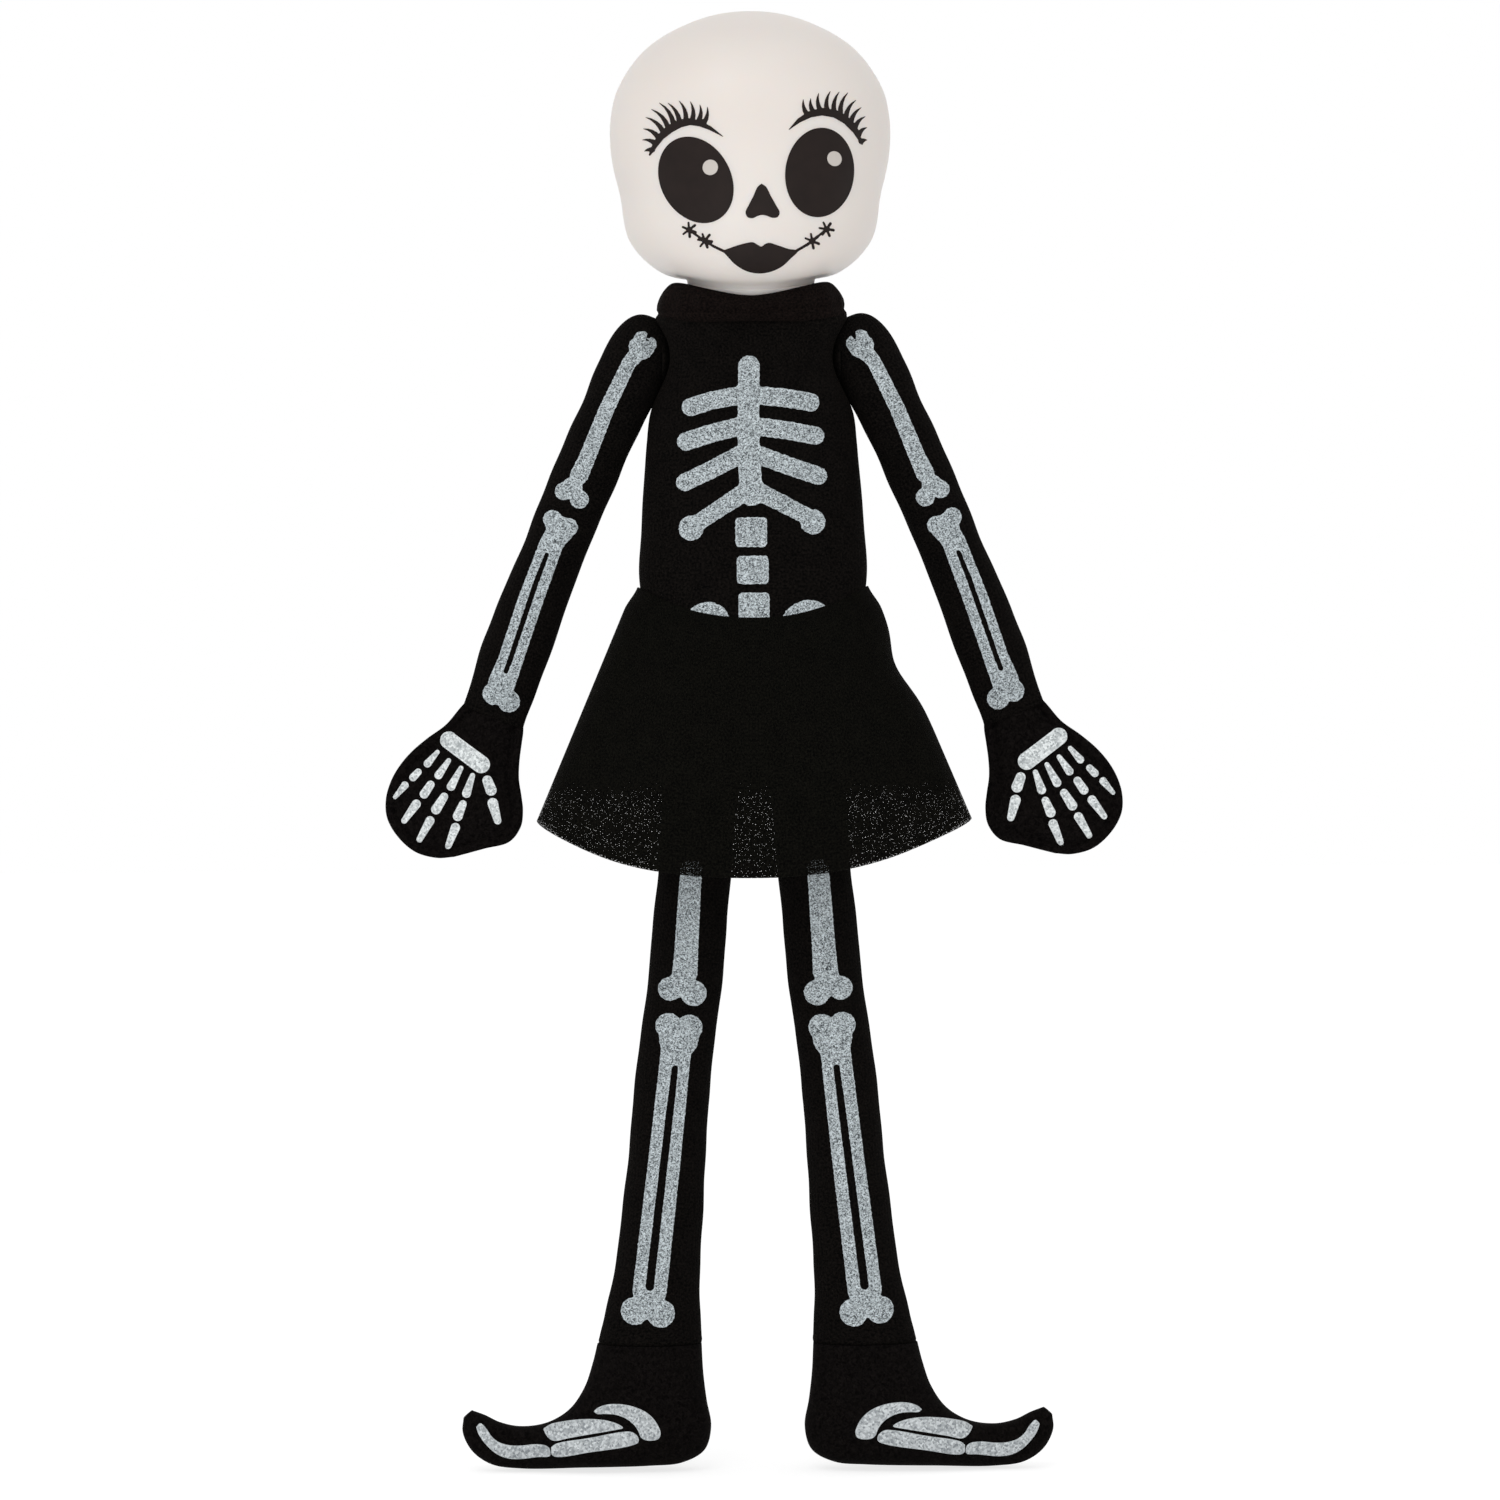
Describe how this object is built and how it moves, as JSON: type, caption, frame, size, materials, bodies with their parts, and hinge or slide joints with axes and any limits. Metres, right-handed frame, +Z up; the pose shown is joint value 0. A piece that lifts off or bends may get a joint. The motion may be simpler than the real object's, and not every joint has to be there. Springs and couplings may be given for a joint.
{
  "type": "plush skeleton doll",
  "caption": "Soft skeleton doll with a hollow vinyl head, stuffed cloth body and limbs printed with bones, felt hands and feet, rolled collar and flared skirt.",
  "frame": {"origin": "middle of the flat of the torso's back, 201 mm above the soles", "axes": "+Z up through the head, -Y the way the face looks, +X the doll's own left"},
  "size_m": [0.1554, 0.056, 0.3056],
  "materials": {
    "black_knit": "brushed black knit, glitter bone print on its front",
    "rolled_knit": "rolled black knit, coarser than the body's",
    "skirt_knit": "thin black knit, slightly see-through at the hem",
    "black_felt": "smooth black felt with pale bone print",
    "stuffing": "white fibre stuffing",
    "white_vinyl": "satin white vinyl, face printed in brown-black",
    "black_nylon": "black nylon",
    "black_elastic": "woven black elastic"
  },
  "bodies": {
    "torso": {"torso_front_panel": "black_knit", "torso_back_panel": "black_knit", "torso_filling": "stuffing", "skirt_front_panel": "skirt_knit", "skirt_back_panel": "skirt_knit", "waist_elastic": "black_elastic"},
    "neck": {"neck_core": "stuffing", "neck_tie": "black_nylon", "collar": "rolled_knit"},
    "head": {"head_shell": "white_vinyl"},
    "left_shoulder": {"left_shoulder_seam": "black_knit"},
    "left_hip": {"left_hip_seam": "black_knit"},
    "left_upper_arm": {"left_upper_arm_front_panel": "black_knit", "left_upper_arm_back_panel": "black_knit", "left_upper_arm_filling": "stuffing"},
    "left_forearm": {"left_forearm_front_panel": "black_knit", "left_forearm_back_panel": "black_knit", "left_forearm_filling": "stuffing"},
    "left_hand": {"left_hand_front_panel": "black_felt", "left_hand_back_panel": "black_felt", "left_hand_filling": "stuffing"},
    "left_thigh": {"left_thigh_front_panel": "black_knit", "left_thigh_back_panel": "black_knit", "left_thigh_filling": "stuffing"},
    "left_shin": {"left_shin_front_panel": "black_knit", "left_shin_back_panel": "black_knit", "left_shin_filling": "stuffing"},
    "left_foot": {"left_foot_front_panel": "black_felt", "left_foot_back_panel": "black_felt", "left_foot_filling": "stuffing"},
    "right_shoulder": {"right_shoulder_seam": "black_knit"},
    "right_hip": {"right_hip_seam": "black_knit"},
    "right_upper_arm": {"right_upper_arm_front_panel": "black_knit", "right_upper_arm_back_panel": "black_knit", "right_upper_arm_filling": "stuffing"},
    "right_forearm": {"right_forearm_front_panel": "black_knit", "right_forearm_back_panel": "black_knit", "right_forearm_filling": "stuffing"},
    "right_hand": {"right_hand_front_panel": "black_felt", "right_hand_back_panel": "black_felt", "right_hand_filling": "stuffing"},
    "right_thigh": {"right_thigh_front_panel": "black_knit", "right_thigh_back_panel": "black_knit", "right_thigh_filling": "stuffing"},
    "right_shin": {"right_shin_front_panel": "black_knit", "right_shin_back_panel": "black_knit", "right_shin_filling": "stuffing"},
    "right_foot": {"right_foot_front_panel": "black_felt", "right_foot_back_panel": "black_felt", "right_foot_filling": "stuffing"}
  },
  "joints": [
    {"name": "neck_nod", "type": "hinge", "parent": "torso", "child": "neck", "pos_m": [0, -0.0149, 0.04], "axis": [1, 0, 0], "range_deg": [-15, 15], "stiffness_Nm_per_rad": 0.03, "deforming": ["neck_core", "collar"]},
    {"name": "head_turn", "type": "hinge", "parent": "neck", "child": "head", "pos_m": [0, -0.0149, 0.044], "axis": [0, 0, 1], "range_deg": [-80, 80]},
    {"name": "left_arm_swing", "type": "hinge", "parent": "torso", "child": "left_shoulder", "pos_m": [0.0248, -0.0149, 0.0315], "axis": [-1, 0, 0], "range_deg": [-50, 165]},
    {"name": "left_arm_raise", "type": "hinge", "parent": "left_shoulder", "child": "left_upper_arm", "pos_m": [0.0248, -0.0149, 0.0315], "axis": [0, -1, 0], "range_deg": [-1, 110], "stiffness_Nm_per_rad": 0.02, "springref_deg": 1.72},
    {"name": "left_elbow", "type": "hinge", "parent": "left_upper_arm", "child": "left_forearm", "pos_m": [0.03756, -0.0149, -0.00056], "axis": [-0.9291, 0, -0.3697], "range_deg": [0, 105], "stiffness_Nm_per_rad": 0.004, "deforming": ["left_upper_arm_front_panel", "left_upper_arm_back_panel", "left_forearm_front_panel", "left_forearm_back_panel"]},
    {"name": "left_wrist", "type": "hinge", "parent": "left_forearm", "child": "left_hand", "pos_m": [0.05464, -0.0149, -0.04348], "axis": [-0.9291, 0, -0.3697], "range_deg": [-60, 60], "stiffness_Nm_per_rad": 0.002, "deforming": ["left_hand_front_panel", "left_hand_back_panel"]},
    {"name": "left_leg_swing", "type": "hinge", "parent": "torso", "child": "left_hip", "pos_m": [0.01035, -0.0149, -0.0475], "axis": [-1, 0, 0], "range_deg": [-35, 100], "deforming": ["skirt_front_panel", "skirt_back_panel"]},
    {"name": "left_leg_spread", "type": "hinge", "parent": "left_hip", "child": "left_thigh", "pos_m": [0.01035, -0.0149, -0.0475], "axis": [0, -1, 0], "range_deg": [-2.5, 22], "stiffness_Nm_per_rad": 0.04, "springref_deg": 1.72},
    {"name": "left_knee", "type": "hinge", "parent": "left_thigh", "child": "left_shin", "pos_m": [0.01577, -0.0149, -0.10484], "axis": [0.9956, 0, 0.0941], "range_deg": [0, 105], "stiffness_Nm_per_rad": 0.006, "deforming": ["left_thigh_front_panel", "left_thigh_back_panel", "left_shin_front_panel", "left_shin_back_panel"]},
    {"name": "left_ankle", "type": "hinge", "parent": "left_shin", "child": "left_foot", "pos_m": [0.02241, -0.0149, -0.17503], "axis": [0, -1, 0], "range_deg": [-12, 25], "stiffness_Nm_per_rad": 0.01, "springref_deg": 2.01, "deforming": ["left_foot_front_panel", "left_foot_back_panel"]},
    {"name": "right_arm_swing", "type": "hinge", "parent": "torso", "child": "right_shoulder", "pos_m": [-0.0248, -0.0149, 0.0315], "axis": [-1, 0, 0], "range_deg": [-50, 165]},
    {"name": "right_arm_raise", "type": "hinge", "parent": "right_shoulder", "child": "right_upper_arm", "pos_m": [-0.0248, -0.0149, 0.0315], "axis": [0, 1, 0], "range_deg": [-1, 110], "stiffness_Nm_per_rad": 0.02, "springref_deg": 1.72},
    {"name": "right_elbow", "type": "hinge", "parent": "right_upper_arm", "child": "right_forearm", "pos_m": [-0.03756, -0.0149, -0.00056], "axis": [-0.9291, 0, 0.3697], "range_deg": [0, 105], "stiffness_Nm_per_rad": 0.004, "deforming": ["right_upper_arm_front_panel", "right_upper_arm_back_panel", "right_forearm_front_panel", "right_forearm_back_panel"]},
    {"name": "right_wrist", "type": "hinge", "parent": "right_forearm", "child": "right_hand", "pos_m": [-0.05464, -0.0149, -0.04348], "axis": [-0.9291, 0, 0.3697], "range_deg": [-60, 60], "stiffness_Nm_per_rad": 0.002, "deforming": ["right_hand_front_panel", "right_hand_back_panel"]},
    {"name": "right_leg_swing", "type": "hinge", "parent": "torso", "child": "right_hip", "pos_m": [-0.01035, -0.0149, -0.0475], "axis": [-1, 0, 0], "range_deg": [-35, 100]},
    {"name": "right_leg_spread", "type": "hinge", "parent": "right_hip", "child": "right_thigh", "pos_m": [-0.01035, -0.0149, -0.0475], "axis": [0, 1, 0], "range_deg": [-2.5, 22], "stiffness_Nm_per_rad": 0.04, "springref_deg": 1.72},
    {"name": "right_knee", "type": "hinge", "parent": "right_thigh", "child": "right_shin", "pos_m": [-0.01577, -0.0149, -0.10484], "axis": [0.9956, 0, -0.0941], "range_deg": [0, 105], "stiffness_Nm_per_rad": 0.006, "deforming": ["right_thigh_front_panel", "right_thigh_back_panel", "right_shin_front_panel", "right_shin_back_panel"]},
    {"name": "right_ankle", "type": "hinge", "parent": "right_shin", "child": "right_foot", "pos_m": [-0.02241, -0.0149, -0.17503], "axis": [0, 1, 0], "range_deg": [-12, 25], "stiffness_Nm_per_rad": 0.01, "springref_deg": 2.01, "deforming": ["right_foot_front_panel", "right_foot_back_panel"]}
  ]
}
